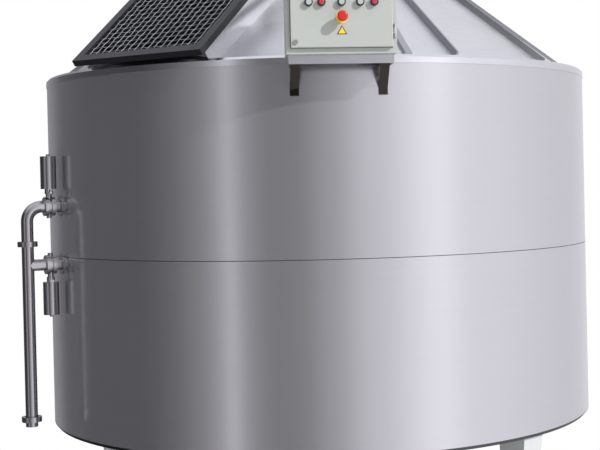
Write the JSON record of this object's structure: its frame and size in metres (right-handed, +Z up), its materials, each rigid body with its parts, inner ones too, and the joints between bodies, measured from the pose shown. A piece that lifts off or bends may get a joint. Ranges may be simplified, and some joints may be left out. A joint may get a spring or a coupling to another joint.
{
  "type": "bulk milk tank",
  "caption": "Upright insulated stainless milk cooling tank with conical roof, grille hatch, agitator, decanting valves, control box and legs.",
  "frame": {"origin": "on the tank axis at floor level, at the centre of the foot anchor holes", "axes": "+Z up along the tank axis, -Y towards the operator and the control box, +X to the right of someone facing the box"},
  "size_m": [2.5373, 2.7741, 3.2177],
  "materials": {
    "jacket_steel": "satin",
    "dark_steel": "satin",
    "base_steel": "satin",
    "bright_steel": "polished",
    "vessel_steel": "satin",
    "foam": "matte",
    "roof_steel": "satin",
    "rib_steel": "satin",
    "switch_plastic": "matte",
    "black_paint": "satin",
    "wire_steel": "bright",
    "seal_rubber": "matte",
    "drive_paint": "semi-gloss",
    "pipe_steel": "polished",
    "brass_fitting": "nickel plated",
    "piston_aluminium": "machined",
    "leg_paint": "satin",
    "box_paint": "fine texture",
    "hinge_metal": "die cast",
    "black_plastic": "matte",
    "grey_plastic": "satin",
    "red_lens": "gloss",
    "yellow_plastic": "satin",
    "red_plastic": "gloss",
    "brace_steel": "satin"
  },
  "bodies": {
    "tank": {"lower_jacket": "jacket_steel", "upper_jacket": "jacket_steel", "seam_strip": "dark_steel", "bottom_plate": "base_steel", "rim_band": "bright_steel", "inner_vessel": "vessel_steel", "wall_insulation": "foam", "floor_insulation": "foam", "cooling_plate": "vessel_steel", "roof_cone": "roof_steel", "roof_ribs": "rib_steel", "roof_duct": "rib_steel", "hatch_coaming": "bright_steel", "hatch_hinges": "bright_steel", "hatch_switch": "switch_plastic", "top_flange": "bright_steel", "shaft_seal": "seal_rubber", "gearbox": "drive_paint", "motor": "drive_paint", "cip_sprayer": "bright_steel", "thermowell": "bright_steel", "valve_bodies": "pipe_steel", "actuator_housings": "pipe_steel", "air_fittings": "brass_fitting", "nozzles": "pipe_steel", "pipe_elbow": "pipe_steel", "decanting_pipe": "pipe_steel", "union_nuts": "pipe_steel", "outlet_pipe": "pipe_steel", "outlet_valve": "pipe_steel", "legs": "leg_paint", "box_body": "box_paint", "door_hinges": "hinge_metal", "switchgear": "switch_plastic", "switch_plate": "yellow_plastic", "box_shelf": "bright_steel", "shelf_braces": "brace_steel", "cable_glands": "grey_plastic"},
    "grille": {"grille_frame": "black_paint", "grille_wires": "wire_steel"},
    "agitator": {"agitator_shaft": "bright_steel", "agitator_blades": "vessel_steel"},
    "upper_disc": {"upper_disc": "pipe_steel"},
    "lower_disc": {"lower_disc": "pipe_steel"},
    "upper_piston": {"upper_piston": "piston_aluminium"},
    "lower_piston": {"lower_piston": "piston_aluminium"},
    "outlet_handle": {"outlet_handle": "pipe_steel"},
    "box_door": {"box_door": "box_paint", "button_housings": "black_plastic", "lamp_lenses": "red_lens", "estop_base": "yellow_plastic", "controller": "black_plastic"},
    "lock_lower": {"lock_lower": "hinge_metal"},
    "lock_upper": {"lock_upper": "hinge_metal"},
    "button_left": {"button_left": "grey_plastic"},
    "button_middle": {"button_middle": "grey_plastic"},
    "button_right": {"button_right": "grey_plastic"},
    "estop_stem": {"estop_stem": "black_plastic"},
    "estop_head": {"estop_head": "red_plastic"},
    "switch_handle": {"switch_handle": "red_plastic"}
  },
  "joints": [
    {"name": "grille_hinge", "type": "hinge", "parent": "tank", "child": "grille", "pos_m": [-0.31095, -0.46275, 2.48647], "axis": [-0.83, 0.5577, 0], "range_deg": [0, 130]},
    {"name": "agitator_spin", "type": "hinge", "parent": "tank", "child": "agitator", "pos_m": [0, 0, 0.6], "axis": [0, 0, 1], "continuous": true},
    {"name": "upper_valve_turn", "type": "hinge", "parent": "tank", "child": "upper_disc", "pos_m": [-1.15742, -0.58973, 1.325], "axis": [0, 0, 1], "range_deg": [0, 90]},
    {"name": "upper_piston_stroke", "type": "slide", "parent": "tank", "child": "upper_piston", "axis": [0, 0, 1], "range_m": [0, 0.025]},
    {"name": "lower_valve_turn", "type": "hinge", "parent": "tank", "child": "lower_disc", "pos_m": [-1.15742, -0.58973, 1.076], "axis": [0, 0, 1], "range_deg": [0, 90]},
    {"name": "lower_piston_stroke", "type": "slide", "parent": "tank", "child": "lower_piston", "axis": [0, 0, -1], "range_m": [0, 0.025]},
    {"name": "outlet_lever_turn", "type": "hinge", "parent": "tank", "child": "outlet_handle", "pos_m": [0, 1.107, 0.24], "axis": [0, 0, 1], "range_deg": [0, 90]},
    {"name": "door_hinge", "type": "hinge", "parent": "tank", "child": "box_door", "pos_m": [0.29536, -1.39981, 2.125], "axis": [0, 0, 1], "range_deg": [0, 125]},
    {"name": "lock_lower_turn", "type": "hinge", "parent": "box_door", "child": "lock_lower", "pos_m": [-0.07211, -1.43452, 1.917], "axis": [0.0698, -0.9976, 0], "range_deg": [0, 90]},
    {"name": "lock_upper_turn", "type": "hinge", "parent": "box_door", "child": "lock_upper", "pos_m": [-0.07211, -1.43452, 2.333], "axis": [0.0698, -0.9976, 0], "range_deg": [0, 90]},
    {"name": "button_left_press", "type": "slide", "parent": "box_door", "child": "button_left", "axis": [-0.0698, 0.9976, 0], "range_m": [0, 0.004], "stiffness_N_per_m": 600},
    {"name": "button_middle_press", "type": "slide", "parent": "box_door", "child": "button_middle", "axis": [-0.0698, 0.9976, 0], "range_m": [0, 0.004], "stiffness_N_per_m": 600},
    {"name": "button_right_press", "type": "slide", "parent": "box_door", "child": "button_right", "axis": [-0.0698, 0.9976, 0], "range_m": [0, 0.004], "stiffness_N_per_m": 600},
    {"name": "estop_press", "type": "slide", "parent": "box_door", "child": "estop_stem", "axis": [-0.0698, 0.9976, 0], "range_m": [0, 0.005], "stiffness_N_per_m": 1500},
    {"name": "estop_twist", "type": "hinge", "parent": "estop_stem", "child": "estop_head", "pos_m": [0.10226, -1.46243, 2.007], "axis": [-0.0698, 0.9976, 0], "range_deg": [0, 30], "stiffness_Nm_per_rad": 0.2},
    {"name": "main_switch_turn", "type": "hinge", "parent": "tank", "child": "switch_handle", "pos_m": [0.31744, -1.31406, 2.107], "axis": [0.9976, 0.0698, 0], "range_deg": [0, 90]}
  ],
  "couplings": [
    {"joint": "upper_valve_turn", "follows": "upper_piston_stroke", "rad_per_m": 62.832},
    {"joint": "lower_valve_turn", "follows": "lower_piston_stroke", "rad_per_m": 62.832}
  ]
}
